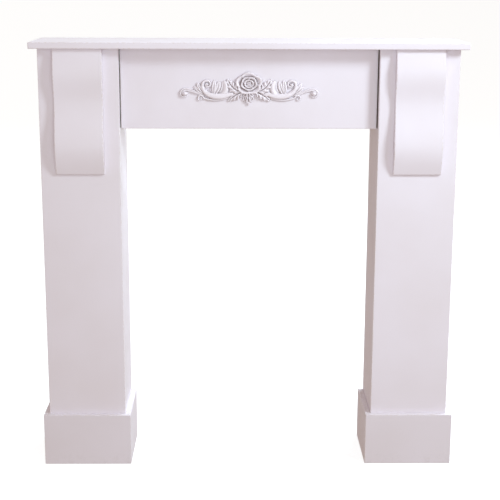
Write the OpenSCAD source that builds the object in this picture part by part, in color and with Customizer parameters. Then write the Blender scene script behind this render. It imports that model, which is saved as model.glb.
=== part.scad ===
// Painted fireplace mantelpiece: a shelf on two hollow board legs with plinths,
// a recessed frieze board with a moulded rose ornament, and an S-curved corbel on each leg.
// X runs along the shelf, the front faces -Y, Z is up. The origin is on the floor,
// under the middle of the shelf.

/* [Overall] */
// Length of the shelf from end to end
shelf_length = 1000; // [800:10:1500]
// Depth of the shelf from its front edge to the wall
shelf_depth = 200; // [160:2:280]
// Height from the floor to the top of the shelf
overall_height = 1020; // [850:5:1400]

/* [Shelf] */
// Thickness of the shelf board
shelf_thickness = 15; // [12:1:30]
// How far the shelf stands past the outer face of each leg
shelf_end_overhang = 17; // [14:1:60]
// How far the shelf stands past the front face of the legs
shelf_front_overhang = 24; // [14:1:60]
// Radius of the rounded front edges of the shelf
shelf_edge_radius = 2; // [0.5:0.5:5]

/* [Legs] */
// Width of each leg
leg_width = 184; // [150:1:260]
// Thickness of the boards of the legs
leg_board = 12; // [9:1:18]

/* [Plinths] */
// Height of the plinth round the foot of each leg
plinth_height = 126; // [80:1:200]
// Thickness of the plinth boards
plinth_board = 13; // [9:1:14]

/* [Frieze] */
// Height of the frieze board below the shelf
frieze_height = 185; // [140:1:260]
// Thickness of the frieze board
frieze_board_thickness = 18; // [12:1:25]
// How far the frieze lies behind the front face of the legs
frieze_recess = 22; // [16:1:40]
// Gap between each end of the frieze and the leg beside it
frieze_end_gap = 2; // [1:0.5:4]

/* [Corbels] */
// Width of each corbel
corbel_width = 112; // [80:1:140]
// Height of each corbel below the shelf
corbel_height = 289; // [240:1:400]
// How far the corbel stands out from the leg under the shelf
corbel_top_reach = 14; // [8:0.5:20]
// How far its upper swell stands out
corbel_upper_reach = 20; // [14:0.5:26]
// How far its waist stands out
corbel_waist_reach = 11.5; // [7:0.5:18]
// How far its lower swell stands out
corbel_lower_reach = 21.5; // [14:0.5:28]
// How far its foot stands out
corbel_foot_reach = 5.5; // [3:0.5:12]
// Distance of the upper swell below the shelf
corbel_upper_drop = 55; // [30:1:70]
// Distance of the waist below the shelf
corbel_waist_drop = 126; // [90:1:150]
// Distance of the lower swell below the shelf
corbel_lower_drop = 221; // [170:1:230]
// Length of one flat of the curved face
corbel_facet = 5; // [2:1:10]

/* [Rose ornament] */
// Width of the ornament
ornament_width = 322; // [240:2:400]
// Height of the ornament
ornament_height = 77; // [60:1:110]
// How far the ornament stands out from the frieze
ornament_relief = 13; // [8:0.5:15]

/* [Hidden] */
LEFT = -1;
RIGHT = 1;

paint = "#ece7ee";
moulding_paint = "#f3eff4";

// heights
shelf_underside = overall_height - shelf_thickness;
frieze_bottom = shelf_underside - frieze_height;

// depths, front to back
shelf_front = -shelf_depth / 2;
wall = shelf_depth / 2;
leg_front_face = shelf_front + shelf_front_overhang;
plinth_front_face = leg_front_face - plinth_board;
frieze_face = leg_front_face + frieze_recess;

// widths, measured from the middle of the shelf
leg_outer = shelf_length / 2 - shelf_end_overhang;
leg_inner = leg_outer - leg_width;
leg_middle = (leg_outer + leg_inner) / 2;
frieze_half_length = leg_inner - frieze_end_gap;

// A plain board between two opposite corners.
module board(low, high) {
    translate(low)
        cube(high - low);
}

// The same board on the left or on the right: x is measured outwards from the middle.
module side_board(side, low, high) {
    if (side == RIGHT)
        board(low, high);
    else
        board([-high.x, low.y, low.z], [-low.x, high.y, high.z]);
}

// ---- shelf and frieze

// Cross-section of the shelf: x runs from the front edge to the wall, y up.
module shelf_section() {
    r = shelf_edge_radius;
    translate([r, 0])
        square([shelf_depth - r, shelf_thickness]);
    translate([0, r])
        square([shelf_depth, shelf_thickness - 2 * r]);
    for (height = [r, shelf_thickness - r])
        translate([r, height])
            circle(r = r, $fn = 32);
}

module mantel_shelf() {
    color(paint)
        translate([-shelf_length / 2, shelf_front, shelf_underside])
            rotate([90, 0, 90])
                linear_extrude(shelf_length)
                    shelf_section();
}

module frieze_board() {
    color(paint)
        board([-frieze_half_length, frieze_face, frieze_bottom],
              [frieze_half_length, frieze_face + frieze_board_thickness, shelf_underside]);
}

// ---- legs: a front board with a side board behind each of its edges, open to the wall

module leg_front(side) {
    color(paint)
        side_board(side, [leg_inner, leg_front_face, 0],
                   [leg_outer, leg_front_face + leg_board, shelf_underside]);
}

module leg_side(side, outer_face) {
    color(paint)
        side_board(side, [outer_face - leg_board, leg_front_face + leg_board, 0],
                   [outer_face, wall, shelf_underside]);
}

// ---- plinths: a front board across the leg, and a side board along each side of it

module plinth_front(side) {
    color(paint)
        side_board(side, [leg_inner - plinth_board, plinth_front_face, 0],
                   [leg_outer + plinth_board, leg_front_face, plinth_height]);
}

module plinth_side(side, outer_face) {
    color(paint)
        side_board(side, [outer_face - plinth_board, leg_front_face, 0],
                   [outer_face, wall, plinth_height]);
}

// ---- corbels

// A value that eases from one reach to the next, level at both ends.
function ease(from, to, t) = from + (to - from) * (1 - cos(180 * t)) / 2;

// How far the corbel's face stands out from the leg at a distance below the shelf:
// three eased stretches, then a quarter wave that tucks in at the foot.
function corbel_reach(drop) =
    drop < corbel_upper_drop
        ? ease(corbel_top_reach, corbel_upper_reach, drop / corbel_upper_drop)
    : drop < corbel_waist_drop
        ? ease(corbel_upper_reach, corbel_waist_reach,
               (drop - corbel_upper_drop) / (corbel_waist_drop - corbel_upper_drop))
    : drop < corbel_lower_drop
        ? ease(corbel_waist_reach, corbel_lower_reach,
               (drop - corbel_waist_drop) / (corbel_lower_drop - corbel_waist_drop))
    : corbel_foot_reach + (corbel_lower_reach - corbel_foot_reach)
        * cos(90 * (drop - corbel_lower_drop) / (corbel_height - corbel_lower_drop));

// Side view of the corbel: x is the reach from the leg, y is the height below the shelf.
module corbel_profile() {
    steps = ceil(corbel_height / corbel_facet);
    face = [for (i = [0:steps]) let (drop = corbel_height * i / steps) [corbel_reach(drop), -drop]];
    polygon(concat([[0, 0]], face, [[0, -corbel_height]]));
}

module corbel(side) {
    color(moulding_paint)
        translate([side * leg_middle + corbel_width / 2, leg_front_face, shelf_underside])
            rotate([90, 0, -90])
                linear_extrude(corbel_width)
                    corbel_profile();
}

// ---- rose ornament: one moulding, drawn as carved strands that grow into each other.
// Its own drawing plane has x to the right and y up, with the rose a little above the middle.

bulge_steps = 6;

// A point on the curve that four control points pull.
function pulled(c, t) =
    pow(1 - t, 3) * c[0] + 3 * t * pow(1 - t, 2) * c[1] + 3 * t * t * (1 - t) * c[2] + t * t * t * c[3];
function curve(c, steps) = [for (i = [0:steps]) pulled(c, i / steps)];

// A coil about a centre, between two radii and two angles.
function coil(centre, radii, angles, steps) = [
    for (i = [0:steps])
        let (t = i / steps, a = angles[0] + (angles[1] - angles[0]) * t,
             r = radii[0] + (radii[1] - radii[0]) * t)
            centre + r * [cos(a), sin(a)]
];

// Direction of a path at one of its points, from the points beside it.
function heading(path, i) =
    let (d = path[min(i + 1, len(path) - 1)] - path[max(i - 1, 0)])
        d / norm(d);

// Half-round section of a strand: from one edge over the top to the other edge.
function strand_section(point, along, half_width, height) = [
    for (j = [0:bulge_steps])
        let (a = 180 * j / bulge_steps, across = half_width * cos(a))
            [point.x - along.y * across, -height * sin(a), point.y + along.x * across]
];

// A strand of carving along a path, flat at the back. Its half width and its height
// are functions of t, which runs from 0 to 1 along the path.
module strand(path, half_width, height) {
    last = len(path) - 1;
    ring = bulge_steps + 1;
    points = [
        for (i = [0:last])
            each strand_section(path[i], heading(path, i), half_width(i / last), height(i / last))
    ];
    sides = [
        for (i = [0:last - 1], j = [0:ring - 1])
            let (a = i * ring + j, b = i * ring + (j + 1) % ring)
                each [[a, b + ring, b], [a, a + ring, b + ring]]
    ];
    ends = [
        [for (j = [0:ring - 1]) j],
        [for (j = [ring - 1:-1:0]) last * ring + j]
    ];
    polyhedron(points, concat(sides, ends), convexity = 6);
}

// A pointed leaf from its stalk to its tip, bent by a pull on each half.
module leaf(c, half_width, height, steps = 9) {
    strand(curve(c, steps),
           function(t) 0.4 + half_width * pow(sin(180 * pow(t, 0.8)), 0.8),
           function(t) 0.8 + height * (1 - 0.75 * t * t));
}

// A round petal that leans out from the middle of the rose, and sweeps round it a little.
module petal(angle, sweep, reach, half_width, height, steps = 7) {
    strand([for (i = [0:steps])
               let (t = i / steps, a = angle + sweep * t)
                   (reach[0] + (reach[1] - reach[0]) * t) * [cos(a), sin(a)]],
           function(t) 0.5 + half_width * pow(sin(180 * (0.12 + 0.86 * t)), 0.6),
           function(t) height * (0.72 + 0.28 * t) * (t < 1 ? 1 : 0.45));
}

// A small half-round knob.
module knob(centre, radius, height) {
    strand([for (i = [0:6]) centre - [radius * cos(30 * i), 0]],
           function(t) 0.1 + radius * sin(180 * t),
           function(t) 0.1 + height * sin(180 * t));
}

module rose() {
    translate([0, 0, 10.5]) {
        for (i = [0:4])
            petal(83 + 72 * i, 9, [6, 28], 13.5, 8);
        for (i = [0:4])
            petal(60 + 72 * i, -17, [2, 19], 9.5, 10.5);
        for (i = [0:2])
            petal(17 + 120 * i, 31, [1.5, 10.5], 6.5, 13, steps = 5);
    }
}

// The fan of three small leaves that hangs below the rose.
module hanging_leaves() {
    leaf([[0, -8], [0, -16], [0, -28], [0, -38.5]], 5, 5.5);
    for (s = [-1, 1])
        leaf([[s, -9], [5 * s, -15], [9 * s, -22], [10 * s, -31.5]], 4.5, 4.5);
}

// Everything on the right of the rose.
module spray() {
    // upper and lower leaf beside the rose
    leaf([[20, -2], [32, 0], [42, 8], [52, 24]], 9, 6.5, 12);
    leaf([[14, -7], [24, -10], [36, -18], [47, -30]], 8.5, 6, 12);
    // leaf that turns up from the root of the scroll
    leaf([[64, -17], [46, -12], [47, 8], [60, 20]], 6, 6.5, 12);
    // scroll: from the eye of its coil, down its back and along its foot to the rose
    strand(concat(coil([96, 10], [2.5, 11], [400, 0], 26),
                  curve([[107, 8], [106, -10], [82, -24], [34, -8]], 16)),
           function(t) 1.8 + 4.4 * sin(180 * pow(t, 2.6)),
           function(t) 4 + 3.2 * sin(180 * pow(t, 2)));
    // leaf inside the scroll
    leaf([[80, -14], [72, -6], [68, 8], [74, 21]], 6.5, 6);
    // thin stem under the scroll, ending in a small curl
    strand(concat(curve([[34, -14], [58, -28], [84, -28], [104, -21]], 12),
                  coil([112, -22], [7.5, 2.2], [145, -200], 14)),
           function(t) 1.5 + 0.8 * sin(180 * t),
           function(t) 3.6 + sin(180 * t));
    // outer leaf
    leaf([[104, -10], [110, -4], [117, 4], [122, 14.5]], 4.5, 5);
    // stalk that runs out and rolls up round a knob at the end
    strand(concat(curve([[96, -13], [113, -17], [127, -2], [144, -1.7]], 12),
                  coil([147.5, -11], [9, 3.8], [88, -250], 16)),
           function(t) 1.8 + 1.7 * sin(180 * t),
           function(t) 4 + 3 * t);
    knob([147.8, -10.7], 4.4, 7.2);
}

// The ornament at its named size, its flat back on the frieze.
module rose_ornament() {
    color(moulding_paint)
        translate([0, frieze_face, (shelf_underside + frieze_bottom) / 2])
            resize([ornament_width, ornament_relief, ornament_height])
                union() {
                    rose();
                    hanging_leaves();
                    spray();
                    mirror([1, 0, 0])
                        spray();
                }
}

// ---- the pieces

mantel_shelf();
frieze_board();
rose_ornament();
leg_front(LEFT);  // left_leg_front
leg_side(LEFT, leg_outer);  // left_leg_outer_side
leg_side(LEFT, leg_inner + leg_board);  // left_leg_inner_side
plinth_front(LEFT);  // left_plinth_front
plinth_side(LEFT, leg_outer + plinth_board);  // left_plinth_outer_side
plinth_side(LEFT, leg_inner);  // left_plinth_inner_side
corbel(LEFT);  // left_corbel
leg_front(RIGHT);  // right_leg_front
leg_side(RIGHT, leg_outer);  // right_leg_outer_side
leg_side(RIGHT, leg_inner + leg_board);  // right_leg_inner_side
plinth_front(RIGHT);  // right_plinth_front
plinth_side(RIGHT, leg_outer + plinth_board);  // right_plinth_outer_side
plinth_side(RIGHT, leg_inner);  // right_plinth_inner_side
corbel(RIGHT);  // right_corbel
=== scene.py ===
import math

import bpy
import numpy as np
from mathutils import Matrix, Vector


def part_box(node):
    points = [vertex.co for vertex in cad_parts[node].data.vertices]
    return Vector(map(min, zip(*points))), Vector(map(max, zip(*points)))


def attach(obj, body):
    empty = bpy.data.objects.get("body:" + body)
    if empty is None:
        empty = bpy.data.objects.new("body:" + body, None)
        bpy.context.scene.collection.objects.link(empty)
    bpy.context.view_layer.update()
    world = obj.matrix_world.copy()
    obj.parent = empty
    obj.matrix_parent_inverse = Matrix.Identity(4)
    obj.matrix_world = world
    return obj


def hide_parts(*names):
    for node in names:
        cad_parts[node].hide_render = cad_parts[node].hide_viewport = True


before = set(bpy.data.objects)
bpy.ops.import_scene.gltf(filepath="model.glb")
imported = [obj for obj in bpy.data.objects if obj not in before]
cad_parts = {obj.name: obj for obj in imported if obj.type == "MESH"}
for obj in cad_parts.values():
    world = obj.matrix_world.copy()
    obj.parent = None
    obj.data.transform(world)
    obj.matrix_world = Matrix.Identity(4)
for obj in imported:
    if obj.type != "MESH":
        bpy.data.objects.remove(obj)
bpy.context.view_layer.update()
print("frame loaded:", len(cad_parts), "boards and mouldings")

toWall, toLeft, toRight = (0, 1, 0), (-1, 0, 0), (1, 0, 0)
down, up = (0, 0, -1), (0, 0, 1)
allOfIt = (0, 1)               # from none to all, for shares in materials
middleOfNoise = (0.3, 0.7)     # the range that a noise texture mostly keeps to

# Satin paint, rolled on.
paintFinish = {
    "colour": (0.845, 0.795, 0.855),       # white with a trace of lavender
    "shadeColour": (0.80, 0.742, 0.782),   # where the coat is a little thinner
    "patchScale": 4.5,                     # slow change between the two over a board
    "patchDetail": 3,
    "thinEdge": (0.70, 0.62, 0.57),        # paint rubbed thin over the board
    "edgeShare": 0.55,
    "rubNoise": (160, 4, 0.65),            # scale, detail and roughness of the rubbed spots
    "rubRange": (0.46, 0.62),
    "hollowColour": (0.34, 0.29, 0.30),    # painted shade in a moulding's hollows and along its foot
    "scuffColour": (0.52, 0.47, 0.45),
    "scuffHeight": 0.035,                  # how far up from the floor shoes and brooms reach
    "scuffNoise": (70, 5, 0.7),
    "scuffRange": (0.50, 0.66),
    "roughness": (0.34, 0.50),
    "glossNoise": (30, 3),
    "specular": 0.45,
    "rollerNoise": (520, 3, 0.6),          # stipple left by the roller
    "rollerDepth": 0.00005,
    "swellNoise": (22, 2),                 # faint unevenness of the coat
    "swellDepth": 0.00012,
}
# Bare fibreboard.
boardFinish = {
    "colour": (0.36, 0.235, 0.135),
    "fibreColour": (0.50, 0.36, 0.225),
    "gapShadeColour": (0.085, 0.062, 0.052),    # painted shade: the near-black of a narrow gap, on bare board
    "cloudNoise": (35, 4),
    "cloudShare": (0, 0.6),
    "fibreNoise": (900, 5, 0.7),
    "fibreRange": (0.40, 0.62),
    "fibreShare": 0.4,
    "fibreDepth": 0.00015,
    "roughness": (0.78, 0.95),
    "specular": 0.25,
}


# Lays out one material: add() makes a node, link() joins two sockets, the rest join up usual groups.
class paintDesk:
    def __init__(self, name):
        self.material = bpy.data.materials.new(name)
        self.material.use_nodes = True
        self.tree = self.material.node_tree
        self.tree.nodes.clear()
        self.shader = self.add("ShaderNodeBsdfPrincipled")
        output = self.add("ShaderNodeOutputMaterial")
        self.link(self.shader.outputs["BSDF"], output.inputs["Surface"])
        self.place = self.add("ShaderNodeTexCoord").outputs["Object"]

    def add(self, kind, **settings):
        node = self.tree.nodes.new(kind)
        for key, value in settings.items():
            setattr(node, key, value)
        return node

    def link(self, source, target):
        self.tree.links.new(source, target)

    def attribute(self, name):
        return self.add("ShaderNodeAttribute", attribute_name=name).outputs["Fac"]

    def noise(self, scale, detail=2.0, roughness=0.5):
        node = self.add("ShaderNodeTexNoise")
        for key, value in (("Scale", scale), ("Detail", detail), ("Roughness", roughness)):
            node.inputs[key].default_value = value
        self.link(self.place, node.inputs["Vector"])
        return node.outputs["Fac"]

    # from one range of values to another, clamped at both ends
    def spread(self, source, fromRange, toRange):
        node = self.add("ShaderNodeMapRange")
        node.inputs["From Min"].default_value, node.inputs["From Max"].default_value = fromRange
        node.inputs["To Min"].default_value, node.inputs["To Max"].default_value = toRange
        self.link(source, node.inputs["Value"])
        return node.outputs["Result"]

    def join(self, operation, *values):
        node = self.add("ShaderNodeMath", operation=operation)
        for socket, value in zip(node.inputs, values):
            if isinstance(value, (int, float)):
                socket.default_value = value
            else:
                self.link(value, socket)
        return node.outputs[0]

    def times(self, first, second):
        return self.join("MULTIPLY", first, second)

    # the first colour where the share is none, the second where it is all
    def mix(self, share, first, second):
        node = self.add("ShaderNodeMix", data_type="RGBA")
        self.link(share, node.inputs["Factor"])
        for name, value in (("A", first), ("B", second)):
            socket = [s for s in node.inputs if s.name == name and s.type == "RGBA"][0]
            if isinstance(value, tuple):
                socket.default_value = (*value, 1)
            else:
                self.link(value, socket)
        return [s for s in node.outputs if s.type == "RGBA"][0]

    def bump(self, source, depth, under=None):
        node = self.add("ShaderNodeBump")
        node.inputs["Distance"].default_value = depth
        self.link(source, node.inputs["Height"])
        if under is not None:
            self.link(under, node.inputs["Normal"])
        return node.outputs["Normal"]


# Rolled satin paint: a slow change of tone, roller stipple, and thin paint on the edges. It may also
# have scuffs near the floor, painted shade in its hollows, and a bare patch darkened as painted shade.
def satinPaint(name, tone=1.0, footScuffs=0.0, hollowTone=0.0, bareShadedPatch=None):
    finish = paintFinish
    desk = paintDesk(name)
    patches = desk.spread(desk.noise(finish["patchScale"], finish["patchDetail"]), middleOfNoise, allOfIt)
    colour = desk.mix(patches, *(tuple(c * tone for c in finish[key]) for key in ("colour", "shadeColour")))
    rubs = desk.spread(desk.noise(*finish["rubNoise"]), finish["rubRange"], allOfIt)
    thin = desk.times(desk.times(desk.attribute("edgeWear"), rubs), finish["edgeShare"])
    colour = desk.mix(thin, colour, finish["thinEdge"])
    # painted shade: a moulding's hollows and foot are darkened towards the hollow shade colour
    if hollowTone:
        colour = desk.mix(desk.times(desk.attribute("hollow"), hollowTone), colour, finish["hollowColour"])
    axes = desk.add("ShaderNodeSeparateXYZ")
    desk.link(desk.place, axes.inputs[0])
    if footScuffs:
        low = desk.spread(axes.outputs["Z"], (0, finish["scuffHeight"]), allOfIt[::-1])
        marks = desk.spread(desk.noise(*finish["scuffNoise"]), finish["scuffRange"], allOfIt)
        colour = desk.mix(desk.times(desk.times(low, marks), footScuffs), colour, finish["scuffColour"])
    # painted shade: inside the patch the colour is the near-black of a narrow gap
    if bareShadedPatch:
        inside = 1
        for axis, (low, high) in bareShadedPatch.items():
            above = desk.join("GREATER_THAN", axes.outputs[axis], low)
            below = desk.join("LESS_THAN", axes.outputs[axis], high)
            inside = desk.times(desk.times(above, below), inside)
        colour = desk.mix(inside, colour, boardFinish["gapShadeColour"])
    desk.link(colour, desk.shader.inputs["Base Color"])
    gloss = desk.spread(desk.noise(*finish["glossNoise"]), middleOfNoise, finish["roughness"])
    desk.link(gloss, desk.shader.inputs["Roughness"])
    swell = desk.bump(desk.noise(*finish["swellNoise"]), finish["swellDepth"])
    stipple = desk.bump(desk.noise(*finish["rollerNoise"]), finish["rollerDepth"], swell)
    desk.link(stipple, desk.shader.inputs["Normal"])
    desk.shader.inputs["Specular IOR Level"].default_value = finish["specular"]
    return desk.material


# Bare fibreboard, as left on hidden sides: fine fibres in two browns over soft clouds.
def rawFibreboard(name):
    finish = boardFinish
    desk = paintDesk(name)
    clouds = desk.spread(desk.noise(*finish["cloudNoise"]), middleOfNoise, finish["cloudShare"])
    fibres = desk.noise(*finish["fibreNoise"])
    grains = desk.spread(fibres, finish["fibreRange"], allOfIt)
    share = desk.join("MULTIPLY_ADD", grains, finish["fibreShare"], clouds)
    desk.link(desk.mix(share, finish["colour"], finish["fibreColour"]), desk.shader.inputs["Base Color"])
    desk.link(desk.spread(fibres, middleOfNoise, finish["roughness"]), desk.shader.inputs["Roughness"])
    desk.link(desk.bump(fibres, finish["fibreDepth"]), desk.shader.inputs["Normal"])
    desk.shader.inputs["Specular IOR Level"].default_value = finish["specular"]
    return desk.material


# Four-sided faces between neighbouring rows of a grid; closed also joins the last column to the first.
def gridFaces(rows, columns, closed):
    across = columns if closed else columns - 1
    row, column = np.meshgrid(np.arange(rows - 1), np.arange(across), indexing="ij")
    following = (column + 1) % columns
    corners = (row * columns + column, row * columns + following,
               (row + 1) * columns + following, (row + 1) * columns + column)
    return np.stack(corners, -1).reshape(-1, 4)


# The two end faces of a stack of closed rows.
def endCaps(rows, columns):
    lastRow = (rows - 1) * columns
    return [range(columns - 1, -1, -1), range(lastRow, lastRow + columns)]


# A mesh becomes a smooth piece at the origin that stands for its node.
def finishPiece(name, mesh, node, materials, attributes):
    for material in materials:
        mesh.materials.append(material)
    mesh.polygons.foreach_set("use_smooth", np.ones(len(mesh.polygons), bool))
    for key, values in attributes.items():
        mesh.attributes.new(key, "FLOAT", "POINT").data.foreach_set("value", values.astype(np.float32))
    mesh.update()
    piece = bpy.data.objects.new(name, mesh)
    bpy.context.scene.collection.objects.link(piece)
    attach(piece, "root")
    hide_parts(node)
    return piece


# One mesh from points and faces. Faces that look along a bare side take the second material.
def makePiece(name, points, faces, caps, node, materials, attributes, bareSides):
    mesh = bpy.data.meshes.new(name)
    mesh.from_pydata(points.tolist(), [], faces.tolist() + [list(cap) for cap in caps])
    mesh.validate()
    piece = finishPiece(name, mesh, node, materials, attributes)
    normals = np.zeros(len(mesh.polygons) * 3)
    mesh.polygons.foreach_get("normal", normals)
    facing = (normals.reshape(-1, 3) @ np.array(bareSides, float).T).max(1) > boardEdges["facing"]
    mesh.polygons.foreach_set("material_index", facing.astype(np.int32))
    return piece


boardEdges = {
    "easing": 0.0008,        # radius that sanding leaves on a board's edges
    "shelfEasing": 0.0019,   # the shelf's edges are rounder
    "cornerExtra": 0.0004,
    "support": 0.0016,       # flat strip beside each rounded edge
    "arcSteps": 5,
    "arcEndWear": 0.6,       # wear where the rounding meets the flat
    "facing": 0.72,          # a face looks along a side when its normal does by this much
}


# Wear along one rounded edge: none on the flat, some where the rounding starts, all on the arc.
def edgeWear():
    ends = [boardEdges["arcEndWear"]]
    return np.concatenate([[0], ends, np.ones(boardEdges["arcSteps"] - 2), ends, [0]])


# One rounded rectangle per inset: each corner's centre plus its radius along a turning direction,
# with one more point on the flat past either end of the arc.
def roundedRings(half, insets, cornerRadius):
    steps, support = boardEdges["arcSteps"], boardEdges["support"]
    quarter = np.radians(np.linspace(0, 90, steps))
    turn = np.concatenate([quarter[:1], quarter, quarter[-1:]])
    slide = np.tile(np.concatenate([[-support], np.zeros(steps), [support]]), 4)
    angle = (turn[None] + np.radians(90) * np.arange(4)[:, None]).ravel()
    signX = np.repeat([1, -1, -1, 1], steps + 2)
    signY = np.repeat([1, 1, -1, -1], steps + 2)
    radius = np.maximum(cornerRadius - insets, boardEdges["cornerExtra"])[:, None]
    inset = insets[:, None]
    x = signX * (half[0] - inset - radius) + radius * np.cos(angle) - slide * np.sin(angle)
    y = signY * (half[1] - inset - radius) + radius * np.sin(angle) + slide * np.cos(angle)
    return x, y, np.tile(edgeWear(), 4)


# A board with eased edges: rounded rectangles stacked from end to end, drawn in along
# a quarter circle towards both ends.
def boardSurface(low, high, easing):
    low, high = np.array(low, float), np.array(high, float)
    centre, half = (low + high) / 2, (high - low) / 2
    support = boardEdges["support"]
    rise = np.radians(np.linspace(-90, 0, boardEdges["arcSteps"]))
    insets = np.concatenate([[easing + support], easing * (1 - np.cos(rise)), [0]])
    lifts = np.concatenate([[0], easing * (1 + np.sin(rise)), [easing + support]])
    wearRow = np.concatenate([edgeWear(), edgeWear()[::-1]])
    insets = np.concatenate([insets, insets[::-1]])
    z = np.concatenate([low[2] + lifts, high[2] - lifts[::-1]])
    x, y, wearColumn = roundedRings(half, insets, easing + boardEdges["cornerExtra"])
    points = np.stack([x + centre[0], y + centre[1], np.broadcast_to(z[:, None], x.shape)], -1)
    wear = np.maximum(wearRow[:, None], wearColumn[None])
    return points.reshape(-1, 3), gridFaces(*x.shape, closed=True), endCaps(*x.shape), wear.ravel()


# One board in its node's place.
def layBoard(node, pieceName, materials, bareSides, easing=boardEdges["easing"]):
    points, faces, caps, wear = boardSurface(*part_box(node), easing)
    makePiece(pieceName, points, faces, caps, node, materials, {"edgeWear": wear}, bareSides)


boardTones = {
    "shelf": 1.01,
    "plinth": 0.97,
    "corbel": 1.01,
    "plinthScuffs": 0.2,
    "shadedStripAhead": {"left": 0.0015, "right": 0.006},    # bare strip in front of the frieze's end, darkened as painted shade of the gap
    "paintedUnder": 0.001,                                 # the coat laps under the frieze by this much
}
bareBoard = rawFibreboard("bareFibreboard")
shelfPaint = satinPaint("shelfSatin", boardTones["shelf"])
legPaint = satinPaint("legSatin")
plinthPaint = satinPaint("plinthSatin", boardTones["plinth"], footScuffs=boardTones["plinthScuffs"])

layBoard("mantel_shelf", "shelf", [shelfPaint, bareBoard], [toWall],
         boardEdges["shelfEasing"])
layBoard("frieze_board", "frieze", [legPaint, bareBoard], [toWall, toLeft, toRight, up])
friezeLow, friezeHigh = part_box("frieze_board")
# the leg's inner side is bare behind the frieze's end and a strip ahead of it, darkened as painted shade
for side, inwards, outwards in (("left", toRight, toLeft), ("right", toLeft, toRight)):
    shadedGapPaint = satinPaint(f"{side}LegInnerSatin", bareShadedPatch={
        "Y": (friezeLow.y - boardTones["shadedStripAhead"][side], friezeHigh.y),
        "Z": (friezeLow.z + boardTones["paintedUnder"], friezeHigh.z)})
    for part, label, paint, hollowSide in (("front", "Front", legPaint, []),
                                           ("outer_side", "OuterSide", legPaint, [inwards]),
                                           ("inner_side", "InnerSide", shadedGapPaint, [outwards])):
        layBoard(f"{side}_leg_{part}", f"{side}Leg{label}", [paint, bareBoard],
                 [*hollowSide, toWall, down, up])
    for part, label in (("front", "Front"), ("outer_side", "OuterSide"), ("inner_side", "InnerSide")):
        layBoard(f"{side}_plinth_{part}", f"{side}Plinth{label}",
                 [plinthPaint, bareBoard], [toWall, down])
print("boards laid")


corbelShape = {
    "stations": (0.0, 0.055, 0.126, 0.221),          # distances below the shelf where the face is upright
    "reaches": (0.014, 0.020, 0.0115, 0.0215),       # how far it stands out there
    "footReach": 0.0055,
    "easing": 0.0013,
    "sideStrip": 0.0006,     # flat strip on each side before the rounding
    "rows": 150,
    "footSteps": 6,
}


# Eased stretches between the stations, half a cosine each, then a quarter wave down to the foot.
def corbelReach(drop, height):
    stations, reaches = np.array(corbelShape["stations"]), np.array(corbelShape["reaches"])
    last, foot = stations[-1], corbelShape["footReach"]
    k = np.clip(np.searchsorted(stations, drop, side="right") - 1, 0, len(stations) - 2)
    t = np.clip((drop - stations[k]) / (stations[k + 1] - stations[k]), 0, 1)
    eased = reaches[k] + (reaches[k + 1] - reaches[k]) * (1 - np.cos(np.pi * t)) / 2
    wave = foot + (reaches[-1] - foot) * np.cos(np.pi / 2 * np.clip((drop - last) / (height - last), 0, 1))
    return np.where(drop < last, eased, wave)


# The corbel: at each height a flat-backed section as deep as the reach there, with eased front
# corners; the last rows draw in along a quarter circle at the foot. A section runs from the back
# on the left, round the front, to the back on the right.
def corbelSurface(low, high):
    easing, steps, support = corbelShape["easing"], boardEdges["arcSteps"], boardEdges["support"]
    height = high.z - low.z
    middle, half = (low.x + high.x) / 2, (high.x - low.x) / 2
    drop = np.linspace(0, height - easing, corbelShape["rows"])
    curl = np.radians(np.linspace(0, 90, corbelShape["footSteps"]))[1:]
    inset = np.concatenate([np.zeros(len(drop)), easing * (1 - np.cos(curl))])
    drop = np.concatenate([drop, height - easing + easing * np.sin(curl)])
    reach = corbelReach(drop, height) - inset
    corner = np.radians(np.linspace(0, 90, steps))
    back = np.zeros(len(drop))
    sides = [back, -np.minimum(support, reach / 3), -(reach - easing - corbelShape["sideStrip"])]
    leftY = np.stack(sides, 1)
    sideX = np.concatenate([np.zeros(len(sides)), easing * (1 - np.cos(corner)), [easing + support]])
    frontY = np.concatenate([easing * (1 - np.sin(corner)), [0]])
    x = np.concatenate([-half + sideX, half - sideX[::-1]])[None] + np.zeros((len(drop), 1))
    x = middle + x * ((half - inset) / half)[:, None]
    frontLeft = -(reach[:, None] - frontY[None])
    y = np.concatenate([leftY, frontLeft, frontLeft[:, ::-1], leftY[:, ::-1]], 1) + high.y
    z = np.broadcast_to((high.z - drop)[:, None], x.shape)
    rows, columns = x.shape
    wear = np.zeros(columns)
    wear[len(sides):len(sides) + steps] = 1
    wear = np.maximum(np.maximum(wear, wear[::-1])[None], (inset > 0)[:, None])
    faces = gridFaces(rows, columns, closed=True)[:, ::-1]
    caps = [cap[::-1] for cap in endCaps(rows, columns)]
    return np.stack([x, y, z], -1).reshape(-1, 3), faces, caps, wear.ravel()


corbelPaint = satinPaint("corbelSatin", boardTones["corbel"])
for side in ("left", "right"):
    points, faces, caps, wear = corbelSurface(*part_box(f"{side}_corbel"))
    makePiece(f"{side}CorbelScroll", points, faces, caps, f"{side}_corbel",
              [corbelPaint, bareBoard], {"edgeWear": wear}, [toWall])
print("corbels shaped")


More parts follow.
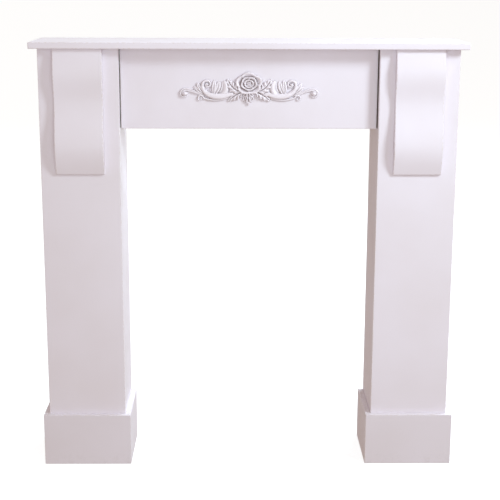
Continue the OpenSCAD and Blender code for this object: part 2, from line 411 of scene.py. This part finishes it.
# The rose ornament. Its lengths are in millimetres from its own middle: x to the right, z up, and
# height off the frieze. Each carved form gives x, z and height over a grid.
roseShape = {
    "middle": (-0.5, 12.8),
    "stretch": (1.06, 0.90),       # the flower is wider than it is tall
    "rings": [                     # of petals, from the outside in
        {"count": 5, "turn": 93, "spread": 41, "radii": (12, 29.8), "heights": (1.4, 7.6),
         "rim": 1.7, "point": 0.10},
        {"count": 5, "turn": 56, "spread": 41, "radii": (7, 18.4), "heights": (4.8, 10.4),
         "rim": 1.6, "point": 0.06},
        {"count": 3, "turn": 17, "spread": 60, "radii": (3, 11.0), "heights": (7.8, 12.0),
         "rim": 1.2, "point": 0.0},
    ],
    "petalGrid": (40, 44),
    "edgeDrop": (0.09, 3.2),       # a petal's edge falls back towards its sides by this share and power
    "pointPower": 1.2,
    "rootSpread": 0.62,            # share of its spread that a petal has at its root
    "cupPower": 1.4,
    "rimAlong": (0.82, 0.2),       # place and width of the rolled rim, outwards and sideways
    "rimAcross": (0.84, 0.12),
    "fallFrom": (0.90, 0.93),      # where the rim turns down, outwards and sideways
    "fallDepth": 1.3,
    "tuck": 0.9,                   # one side of a petal lies above its neighbour
    "folds": (0.22, 7, 2),         # depth, number round the flower and twist of soft folds
    "bud": {"radius": 6.2, "heights": (9.0, 11.2)},
    "coil": {"radii": (0.9, 5.6), "angles": (40, 700), "width": (1.0, 0.3), "height": (13.0, -1.6)},
}
carving = {
    "strandColumns": 25,
    "strandRows": 110,
    "pathPoints": 60,
    "domeGrid": (16, 40),
    "domeStart": 0.02,             # a dome's innermost ring, as a share of its radius
    "crownFoot": 0.12,             # share of its height that a strand keeps at its edges
    "cup": (0.72, 0.28, 2.2),      # level, swing and steepness of a turned leaf's slope
    "cupLip": (0.14, 0.72, 0.16),  # height, place and width of the lip on its low side
    "broad": (3.4, 0.6),           # powers that flatten a scroll's top
    "channel": (0.34, 0.36),       # depth and width of a lobe's groove
    "pillow": (0.34, 0.66, 0.78, 0.8),     # level, rise and two powers of a leaf's pillows
    "veins": (0.24, 1.1, 4, 0.6),  # depth, slant, and where they start from the midrib
    "leafEdge": (0.5, 0.8, 0.8),   # least half width, and two powers of a leaf's outline
    "toothMiddle": 0.6,
    "leafLow": (1.0, 0.7),         # a leaf's least height, and the share it loses to its tip
    "lobeWidth": (0.8, 1.15, 0.62),
    "lobeHeight": (1.6, 0.25, 0.68),
}
# The leaves that hang under the rose: one in the middle, and one on either side of it.
hangingShape = {
    "middle": {"path": [[-2, -6], [-2, -16], [-2, -30], [-1.5, -38.4]],
               "halfWidth": 7.4, "height": 7.6, "teeth": 2.6, "bite": 0.26},
    "stemX": -2,
    "sideReach": (1, 6, 11, 7.5),
    "sideDrop": (-8, -12, -20, -31),
    "side": {"halfWidth": 5.2, "height": 5.0, "teeth": 2.4, "bite": 0.26},
}
# The spray on the right; the left one is its mirror image. A path's four points pull a curve.
# A width or height swells as its low, its rise and two powers say.
sprayShape = {
    "leaves": [
        {"path": [[20, -5], [31, -4], [42, 4], [50, 23.5]],
         "halfWidth": 11.5, "height": 7.4, "teeth": 4.5, "bite": 0.3},
        {"path": [[13, -6], [23, -9], [36, -15], [48, -29]],
         "halfWidth": 11.5, "height": 7.0, "teeth": 4, "bite": 0.3},
    ],
    "turnedLobe": {"path": [[76, -13], [56, -15], [53, 2], [59, 19]],      # up from the scroll's root
                   "width": (1.6, 8.6, 0.85, 0.5), "height": (3.0, 6.2, 0.8, 0.5)},
    "scroll": {"eye": (96, 10), "radii": (2.0, 11), "angles": (420, 0),    # eye, back, and foot to the rose
               "path": [[107, 8], [107, -12], [80, -28], [32, -8]],
               "coilPoints": 90, "pathPoints": 70, "rows": 200,
               "width": (2.2, 5.6, 2.2, 1.1), "height": (5.6, 3.2, 1.6, 1)},
    "eyeDome": {"centre": (96, 10), "radius": 3.2, "heights": (3.0, 7.6)},
    "innerLobes": [
        {"path": [[80, -13], [75, -6], [69, 4], [69.5, 18.5]], "halfWidth": 5.6, "height": 6.4},
        {"path": [[81, -13], [82, -4], [81, 8], [79, 20.5]], "halfWidth": 5.2, "height": 7.2},
    ],
    "stem": {"path": [[34, -14], [58, -28.5], [84, -28.5], [104, -21]],    # under the scroll, with a curl
             "eye": (112, -22), "radii": (7.5, 2.0), "angles": (145, -230),
             "coilPoints": 60, "pathPoints": 50, "rows": 140,
             "width": (1.5, 0.9, 1, 1), "height": (3.4, 1.4, 1, 1)},
    "outerLobes": [
        {"path": [[104, -9], [109, -5], [115, 3], [119.5, 14.5]], "halfWidth": 4.0, "height": 6.0},
        {"path": [[104, -11], [112, -8], [119, -2], [126, 7]], "halfWidth": 3.6, "height": 5.0},
    ],
    "stalk": {"path": [[96, -13], [113, -17], [127, -2], [144, -1.7]],     # rolls up round the end knob
              "eye": (147.5, -11), "radii": (9.2, 4.0), "angles": (92, -250),
              "coilPoints": 60, "pathPoints": 50, "rows": 150,
              "width": (1.8, 2.6, 1.5, 1), "height": (4, 2.2, 0.9, 1)},
    "knob": {"centre": (148.0, -10.8), "radius": 6.4, "heights": (2.0, 9.6)},
}
castShape = {
    "metres": 0.001,
    "voxel": 0.0007,
    "smoothing": (0.55, -0.57),    # smooth, then swell back, so that detail keeps its size
    "hollowReach": 28,             # how far round a spot counts when hollows are found, in edges
    "hollowDepth": 0.0007,
    "hollowPower": 0.8,
    "ridgeWear": 0.4,
    "footShadeBand": 0.0026,            # the band of painted shade where the moulding meets the frieze
    "tone": 1.05,
}


# The curve that four control points pull, as rows of points.
def pulledCurve(controls, count=carving["pathPoints"]):
    c, t = np.array(controls, float), np.linspace(0, 1, count)[:, None]
    return (1 - t) ** 3 * c[0] + 3 * t * (1 - t) ** 2 * c[1] + 3 * t ** 2 * (1 - t) * c[2] + t ** 3 * c[3]


# A coil about its eye: radius and angle both change evenly.
def coilCurve(eye, radii, angles, count):
    t = np.linspace(0, 1, count)
    angle, radius = np.radians(angles[0] + (angles[1] - angles[0]) * t), radii[0] + (radii[1] - radii[0]) * t
    return np.array(eye) + (radius * np.array([np.cos(angle), np.sin(angle)])).T


# The same path with its points at equal steps along its length.
def evenly(path, count):
    steps = np.linalg.norm(np.diff(path, axis=0), axis=1)
    length = np.concatenate([[0], np.cumsum(steps)])
    at = np.linspace(0, length[-1], count)
    return np.stack([np.interp(at, length, path[:, 0]), np.interp(at, length, path[:, 1])], 1)


# From low up by the rise and back: half a sine wave along the strand, bent by two powers.
def swelling(low, rise, early, blunt):
    return lambda t: low + rise * np.sin(np.pi * t ** early) ** blunt


# A steady change along the strand.
def sloping(start, change):
    return lambda t: start + change * t


# A strand of carving: each row runs across the path from edge to edge, and the crown
# says what share of the height it has at s across and t along.
def strandRelief(path, halfWidth, height, crown, rows=carving["strandRows"]):
    path = evenly(path, rows)
    t = np.linspace(0, 1, rows)[:, None]
    s = np.linspace(-1, 1, carving["strandColumns"])[None]
    along = np.gradient(path, axis=0)
    along /= np.linalg.norm(along, axis=1, keepdims=True)
    wide = halfWidth(t) * s
    return path[:, :1] - along[:, 1:] * wide, path[:, 1:] + along[:, :1] * wide, height(t) * crown(s, t)


# Half round.
def roundCrown(s, t):
    return carving["crownFoot"] + (1 - carving["crownFoot"]) * np.sqrt(np.clip(1 - s * s, 0, 1))


# Half round, high along its outer edge and sinking to a small lip at the inner one.
def cupCrown(s, t):
    level, swing, steepness = carving["cup"]
    height, place, width = carving["cupLip"]
    return (roundCrown(s, t) * (level + swing * np.tanh(steepness * s))
            + height * np.exp(-((s + place) / width) ** 2))


# Flatter on top than half round, and steep at both edges.
def broadCrown(s, t):
    power, blunt = carving["broad"]
    return carving["crownFoot"] + (1 - carving["crownFoot"]) * np.clip(1 - np.abs(s) ** power, 0, 1) ** blunt


# Half round with a bell-shaped channel down the middle, so that both edges read as rolled.
def rolledCrown(s, t):
    depth, width = carving["channel"]
    return roundCrown(s, t) * (1 - depth * np.exp(-(s / width) ** 2))


# Two pillows either side of a midrib groove, rippled by side veins that slant to the tip.
def leafCrown(teeth):
    level, rise, lean, blunt = carving["pillow"]
    depth, slant, onset, gap = carving["veins"]

    def crown(s, t):
        pillows = level + rise * np.sin(np.pi * np.abs(s) ** lean) ** blunt
        waves = np.cos(2 * np.pi * (teeth * t - slant * np.abs(s)))
        return pillows + depth * waves * np.clip(np.abs(s) * onset - gap, 0, 1)
    return crown


# A pointed leaf with a saw-toothed edge: widest before its middle, low at its tip.
def leafRelief(path, halfWidth, height, teeth, bite):
    least, early, blunt = carving["leafEdge"]
    low, loss = carving["leafLow"]

    def width(t):
        tooth = 1 + bite * ((teeth * t) % 1 - carving["toothMiddle"])
        return least + halfWidth * np.sin(np.pi * t ** early) ** blunt * tooth
    return strandRelief(pulledCurve(path), width, lambda t: low + height * (1 - loss * t ** 2),
                        leafCrown(teeth))


# A smooth blunt lobe with one groove down its middle.
def lobeRelief(path, halfWidth, height):
    least, early, blunt = carving["lobeWidth"]
    low, start, share = carving["lobeHeight"]
    return strandRelief(pulledCurve(path), swelling(least, halfWidth, early, blunt),
                        lambda t: low + height * np.sin(np.pi * (start + share * t)), rolledCrown)


# A petal: from the middle of the rose out to a bluntly pointed edge, cupped, its rim rolled over
# and turned down, and one side tucked under its neighbour.
def petalRelief(ring, number):
    rows, columns = roseShape["petalGrid"]
    t, s = np.linspace(0, 1, rows)[:, None], np.linspace(-1, 1, columns)[None]
    aside = np.abs(s)
    drop, dropPower = roseShape["edgeDrop"]
    inner, outer = ring["radii"]
    edge = outer * (1 - drop * aside ** dropPower - ring["point"] * aside ** roseShape["pointPower"])
    radius = inner + (edge - inner) * t
    root = roseShape["rootSpread"]
    turned = ring["spread"] * s * (root + (1 - root) * np.sqrt(t))
    angle = np.radians(ring["turn"] + 360 / ring["count"] * number + turned)
    x = roseShape["middle"][0] + roseShape["stretch"][0] * radius * np.cos(angle)
    z = roseShape["middle"][1] + roseShape["stretch"][1] * radius * np.sin(angle)
    low, high = ring["heights"]
    height = low + (high - low) * np.sin(np.pi / 2 * t) ** roseShape["cupPower"]
    (out, outWidth), (across, acrossWidth) = roseShape["rimAlong"], roseShape["rimAcross"]
    rim = np.maximum(np.exp(-((t - out) / outWidth) ** 2), np.exp(-((aside - across) / acrossWidth) ** 2) * t)
    fall = np.maximum(*(np.clip((v - start) / (1 - start), 0, 1)
                        for v, start in zip((t, aside), roseShape["fallFrom"]))) ** 2
    depth, around, twist = roseShape["folds"]
    folds = depth * np.cos(around * angle + twist * t) * t
    rolled = ring["rim"] * (rim - roseShape["fallDepth"] * fall)
    return x, z, height + rolled + roseShape["tuck"] * s * t + folds


# A round dome: height falls off from its middle like a cosine.
def domeRelief(centre, radius, heights):
    rows, columns = carving["domeGrid"]
    r = np.linspace(carving["domeStart"], 1, rows)[:, None]
    angle = np.linspace(0, 2 * np.pi, columns)[None]
    low, high = heights
    return (centre[0] + radius * r * np.cos(angle), centre[1] + radius * r * np.sin(angle),
            low + (high - low) * np.cos(np.pi / 2 * r) + 0 * angle)


# The rose: rings of petals, then a bud with a coil on it.
def roseReliefs():
    for ring in roseShape["rings"]:
        for number in range(ring["count"]):
            yield petalRelief(ring, number)
    yield domeRelief(roseShape["middle"], **roseShape["bud"])
    coil = roseShape["coil"]
    yield strandRelief(coilCurve(roseShape["middle"], coil["radii"], coil["angles"], carving["pathPoints"]),
                       sloping(*coil["width"]), sloping(*coil["height"]), roundCrown)


# The three leaves under the rose.
def hangingReliefs():
    yield leafRelief(**hangingShape["middle"])
    for side in (-1, 1):
        path = [[hangingShape["stemX"] + side * reach, drop]
                for reach, drop in zip(hangingShape["sideReach"], hangingShape["sideDrop"])]
        yield leafRelief(path, **hangingShape["side"])


# One spray, from the rose outwards. A curled strand is a pulled path joined to a coil.
def sprayReliefs():
    def strand(form, path, crown, rows):
        return strandRelief(path, swelling(*form["width"]), swelling(*form["height"]), crown, rows)

    def run(form):
        return pulledCurve(form["path"], form["pathPoints"])

    def coil(form):
        return coilCurve(form["eye"], form["radii"], form["angles"], form["coilPoints"])

    for leaf in sprayShape["leaves"]:
        yield leafRelief(**leaf)
    lobe, scroll, stem, stalk = (sprayShape[key] for key in ("turnedLobe", "scroll", "stem", "stalk"))
    yield strand(lobe, pulledCurve(lobe["path"]), cupCrown, carving["strandRows"])
    yield strand(scroll, np.concatenate([coil(scroll), run(scroll)[1:]]), broadCrown, scroll["rows"])
    yield domeRelief(**sprayShape["eyeDome"])
    for form in sprayShape["innerLobes"]:
        yield lobeRelief(**form)
    yield strand(stem, np.concatenate([run(stem), coil(stem)[1:]]), roundCrown, stem["rows"])
    for form in sprayShape["outerLobes"]:
        yield lobeRelief(**form)
    yield strand(stalk, np.concatenate([run(stalk), coil(stalk)[1:]]), rolledCrown, stalk["rows"])
    yield domeRelief(**sprayShape["knob"])


# A closed shell: the carved face in front, its own outline at the back, and walls between.
def reliefShell(x, z, height):
    rows, columns = x.shape
    front = np.stack([x, -height, z], -1)
    back = np.stack([x, np.zeros_like(x), z], -1)
    faces = gridFaces(rows, columns, closed=False)
    offset = rows * columns
    index = np.arange(offset).reshape(rows, columns)
    rim = np.concatenate([index[0, :-1], index[:-1, -1], index[-1, :0:-1], index[:0:-1, 0]])
    after = np.roll(rim, -1)
    walls = np.stack([rim, rim + offset, after + offset, after], 1)
    return (np.concatenate([front.reshape(-1, 3), back.reshape(-1, 3)]),
            np.concatenate([faces, faces[:, ::-1] + offset, walls]))


# All the shells as one set of points and faces, the spray once as it is and once mirrored.
def gatherShells():
    shells = [reliefShell(*r) for r in [*roseReliefs(), *hangingReliefs()]]
    for x, z, height in sprayReliefs():
        shells.append(reliefShell(x, z, height))
        shells.append(reliefShell(-x[:, ::-1], z[:, ::-1], height[:, ::-1]))
    starts = np.concatenate([[0], np.cumsum([len(p) for p, f in shells])[:-1]])
    points = np.concatenate([p for p, f in shells])
    faces = np.concatenate([f + start for (p, f), start in zip(shells, starts)])
    return points, faces


# One skin round all the shells, as when the moulding is cast in one piece.
def fused(points, faces, voxel):
    mesh = bpy.data.meshes.new("rawMoulding")
    mesh.from_pydata(points.tolist(), [], faces.tolist())
    raw = bpy.data.objects.new("rawMoulding", mesh)
    bpy.context.scene.collection.objects.link(raw)
    remesh = raw.modifiers.new("oneSkin", "REMESH")
    remesh.mode, remesh.voxel_size, remesh.adaptivity = "VOXEL", voxel, 0.0
    skin = bpy.data.meshes.new_from_object(raw.evaluated_get(bpy.context.evaluated_depsgraph_get()))
    bpy.data.objects.remove(raw)
    return skin


# Mean of each vertex's neighbours along the edges.
def neighbourMean(values, edges):
    total, share = np.zeros_like(values), np.zeros(len(values))
    for a, b in ((edges[:, 0], edges[:, 1]), (edges[:, 1], edges[:, 0])):
        np.add.at(total, a, values[b])
        np.add.at(share, a, 1)
    return total / np.maximum(share, 1).reshape((-1,) + (1,) * (values.ndim - 1))


# The cast moulding: the skin is smoothed, its hollows and ridges are found by how far each spot
# lies behind or before its surroundings, and it is stretched to its box, flat against the frieze.
# The hollows and the foot on the frieze get painted shade; the ridges get paint worn thin.
def buildOrnament():
    low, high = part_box("rose_ornament")
    points, faces = gatherShells()
    mesh = fused(points * castShape["metres"], faces, castShape["voxel"])
    count = len(mesh.vertices)
    place = np.zeros(count * 3)
    mesh.vertices.foreach_get("co", place)
    place = place.reshape(-1, 3)
    edges = np.zeros(len(mesh.edges) * 2, np.int64)
    mesh.edges.foreach_get("vertices", edges)
    edges = edges.reshape(-1, 2)
    for pull in castShape["smoothing"]:
        place = place + pull * (neighbourMean(place, edges) - place)
    around = place[:, 1]
    for _ in range(castShape["hollowReach"]):
        around = neighbourMean(around, edges)
    sunk = (place[:, 1] - around) / castShape["hollowDepth"]
    size = np.array(high) - np.array(low)
    place = np.array(low) + (place - place.min(0)) * size / (place.max(0) - place.min(0))
    # painted shade in the hollows and in a band along the foot, where the moulding meets the frieze
    foot = np.clip(1 - (high.y - place[:, 1]) / castShape["footShadeBand"], 0, 1)
    hollow = np.maximum(np.clip(sunk, 0, 1) ** castShape["hollowPower"], foot)
    mesh.vertices.foreach_set("co", place.ravel())
    paint = satinPaint("ornamentSatin", castShape["tone"], hollowTone=1.0)
    finishPiece("roseOrnament", mesh, "rose_ornament", [paint],
                {"hollow": hollow, "edgeWear": np.clip(-sunk, 0, 1) * castShape["ridgeWear"]})
    print("rose ornament:", len(mesh.polygons), "faces")


buildOrnament()


studio = {
    "floorColour": (0.42, 0.42, 0.42),
    "floorRoughness": 0.9,
    "floorGlow": 0.78,
    "glowColour": (0.97, 0.99, 1.0),
    "floorRadius": 7.0,
    "coveRadius": 3.0,
    "wallHeight": 9.0,
    "steps": (8, 24, 96),     # over the floor, up the cove, and round the room
    "middleRings": (0.01, 0.5),
    "lights": {               # place, width, power and colour of each soft light
        "key": ((1.6, -1.2, 1.9), 0.5, 30.5, (0.846, 1.0, 1.10)),
        "window": ((2.0, 1.6, 4.5), 2.2, 177, (0.817, 1.0, 1.12)),
        "front": ((0.0, -1.6, 0.9), 1.1, 7.0, (0.855, 1.0, 1.135)),
        "back": ((1.4, 3.0, 0.7), 1.0, 18, (0.85, 1.0, 1.10)),
        "side": ((-3.2, 0.03, 0.6), 0.5, 14, (0.85, 1.0, 1.10)),
    },
    "aim": (0.0, 0.0, 0.6),
    "worldColour": (1.0, 0.839, 0.737),
    "worldStrength": 0.497,
}


# A round room: the floor runs out, turns up along a quarter circle and goes on as a wall;
# that line is turned about the upright axis.
def backdropSurface():
    radius, reach = studio["coveRadius"], studio["floorRadius"]
    floorSteps, coveSteps, aroundSteps = studio["steps"]
    turn = np.linspace(0, np.pi / 2, coveSteps)
    hub, firstRing = studio["middleRings"]
    floorOut = np.concatenate([[hub], np.linspace(firstRing, reach, floorSteps)[:-1]])
    out = np.concatenate([floorOut, reach + radius * np.sin(turn), [reach + radius]])
    z = np.concatenate([0 * floorOut, radius * (1 - np.cos(turn)), [studio["wallHeight"]]])
    around = np.linspace(0, 2 * np.pi, aroundSteps, endpoint=False)
    rows = np.stack([out[:, None] * np.cos(around), out[:, None] * np.sin(around),
                     np.broadcast_to(z[:, None], (len(z), aroundSteps))], -1)
    faces = gridFaces(len(z), aroundSteps, closed=True)[:, ::-1]
    return rows.reshape(-1, 3), faces, range(aroundSteps)


# The glowing floor lights and shades nothing; the soft lights and the even world light do.
def buildStudio():
    points, faces, middle = backdropSurface()
    mesh = bpy.data.meshes.new("studioFloor")
    mesh.from_pydata(points.tolist(), [], faces.tolist() + [list(middle)])
    mesh.polygons.foreach_set("use_smooth", np.ones(len(mesh.polygons), bool))
    floor = bpy.data.objects.new("studioFloor", mesh)
    bpy.context.scene.collection.objects.link(floor)
    desk = paintDesk("paleFloor")
    for socket, value in (("Base Color", (*studio["floorColour"], 1)),
                          ("Roughness", studio["floorRoughness"]),
                          ("Emission Color", (*studio["glowColour"], 1)),
                          ("Emission Strength", studio["floorGlow"])):
        desk.shader.inputs[socket].default_value = value
    mesh.materials.append(desk.material)
    floor.visible_diffuse = floor.visible_glossy = floor.visible_shadow = False

    for name, (place, width, power, colour) in studio["lights"].items():
        light = bpy.data.lights.new(name + "Light", "AREA")
        light.shape, light.size, light.energy, light.color = "SQUARE", width, power, colour
        lamp = bpy.data.objects.new(name + "Light", light)
        lamp.location = place
        lamp.rotation_euler = (Vector(studio["aim"]) - lamp.location).to_track_quat("-Z", "Y").to_euler()
        bpy.context.scene.collection.objects.link(lamp)

    world = bpy.data.worlds.new("softRoom")
    world.use_nodes = True
    sky = world.node_tree.nodes["Background"]
    sky.inputs["Color"].default_value = (*studio["worldColour"], 1)
    sky.inputs["Strength"].default_value = studio["worldStrength"]
    bpy.context.scene.world = world
    bpy.context.scene.view_settings.view_transform = "Standard"


cameraSettings = {
    "place": (-0.0368, -2.8195, 1.1763),
    "pitchDown": 0.2295,
    "yaw": 0.0145,
    "roll": 0.0038,
    "lens": 85.83,
    "sensorWidth": 36,
}


# The camera looks along a heading turned by the yaw and tipped down by the pitch, then rolled.
def placeCamera():
    pitch, yaw, roll = (cameraSettings[k] for k in ("pitchDown", "yaw", "roll"))
    ahead = Vector((math.sin(yaw) * math.cos(pitch), math.cos(yaw) * math.cos(pitch), -math.sin(pitch)))
    level = Vector((math.cos(yaw), -math.sin(yaw), 0))
    upwards = level.cross(ahead)
    right = level * math.cos(roll) + upwards * math.sin(roll)
    top = upwards * math.cos(roll) - level * math.sin(roll)
    data = bpy.data.cameras.new("studioCamera")
    data.lens, data.sensor_width = cameraSettings["lens"], cameraSettings["sensorWidth"]
    camera = bpy.data.objects.new("studioCamera", data)
    turned = Matrix((right, top, -ahead)).transposed().to_4x4()
    camera.matrix_world = Matrix.Translation(cameraSettings["place"]) @ turned
    bpy.context.scene.collection.objects.link(camera)
    bpy.context.scene.camera = camera


buildStudio()
placeCamera()
print("studio ready")
